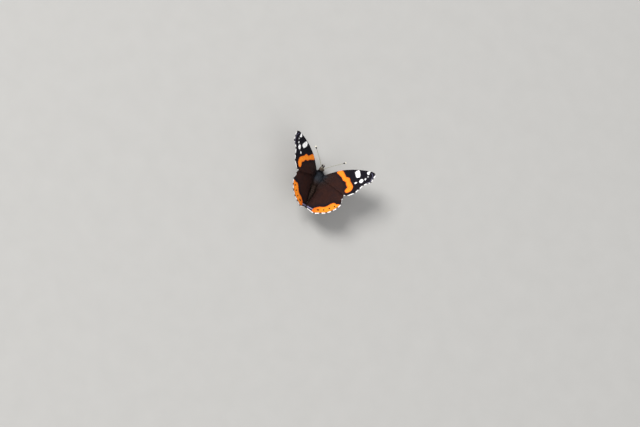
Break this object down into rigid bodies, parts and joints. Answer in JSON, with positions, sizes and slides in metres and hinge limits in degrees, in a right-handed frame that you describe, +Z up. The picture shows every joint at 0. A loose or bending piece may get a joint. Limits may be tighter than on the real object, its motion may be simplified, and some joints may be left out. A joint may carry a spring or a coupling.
{
  "type": "red admiral butterfly",
  "caption": "Life-size butterfly standing on its walking legs, wings half open in a shallow V, with clubbed feelers, a coiled tongue and a tapered abdomen.",
  "frame": {"origin": "on the floor, under the middle of the model's box", "axes": "+Z up, -Y towards the head, +X towards the insect's left wings"},
  "size_m": [0.0542, 0.039, 0.0255],
  "materials": {
    "wing": "velvety black-brown scales with orange-red bands and white spots",
    "body_hair": "dense dark brown hair over horn",
    "eye": "faceted, dark brown, softly glossy",
    "tongue": "ringed brown horn",
    "feeler": "dark horn with fine white rings",
    "club": "black horn with a pale tip",
    "leg": "brown scaled horn"
  },
  "bodies": {
    "root": {"head": "body_hair", "prothorax": "body_hair", "thorax": "body_hair", "abdomen": "body_hair", "palp_left": "body_hair", "palp_right": "body_hair", "eye_left": "eye", "eye_right": "eye", "proboscis": "tongue", "antenna_left": "feeler", "antenna_right": "feeler", "club_left": "club", "club_right": "club", "forewing_left": "wing", "forewing_right": "wing", "hindwing_left": "wing", "hindwing_right": "wing", "foreleg_left": "leg", "foreleg_right": "leg", "midleg_left": "leg", "midleg_right": "leg", "hindleg_left": "leg", "hindleg_right": "leg"}
  },
  "joints": []
}
